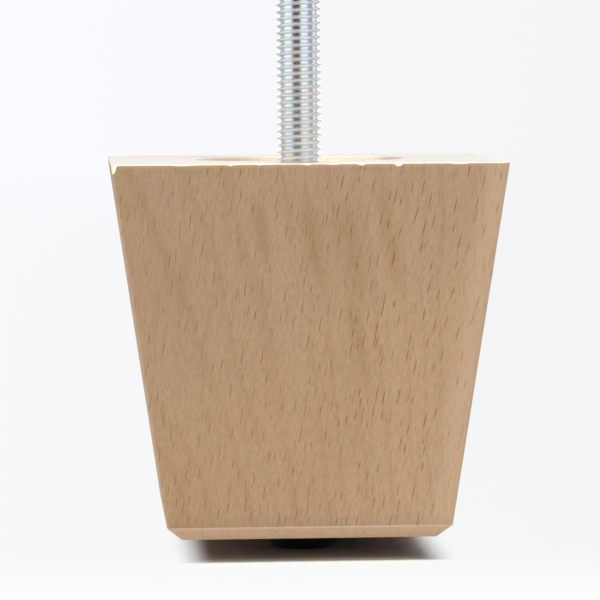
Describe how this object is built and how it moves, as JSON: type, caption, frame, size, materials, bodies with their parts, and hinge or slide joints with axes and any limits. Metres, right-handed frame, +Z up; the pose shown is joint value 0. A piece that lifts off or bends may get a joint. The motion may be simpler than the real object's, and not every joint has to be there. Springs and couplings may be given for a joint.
{
  "type": "furniture foot",
  "caption": "Tapered square hardwood furniture foot with a chamfered lower edge, a bored recess round its threaded stud and a nail-on plastic glide.",
  "frame": {"origin": "on the floor, at the centre of the glide's flat underside", "axes": "+Z up along the stud, towards the furniture; X and Y square to the block's sides"},
  "size_m": [0.068, 0.068, 0.1035],
  "materials": {
    "beech": "sanded beech, raw or thinly lacquered, satin",
    "zinc_plated_steel": "bright zinc plating with a faint blue cast",
    "black_plastic": "moulded, fine matt",
    "nail_steel": "plain bright steel"
  },
  "bodies": {
    "root": {"wooden_block": "beech", "hanger_bolt": "zinc_plated_steel", "glide": "black_plastic", "glide_nail": "nail_steel"}
  },
  "joints": []
}
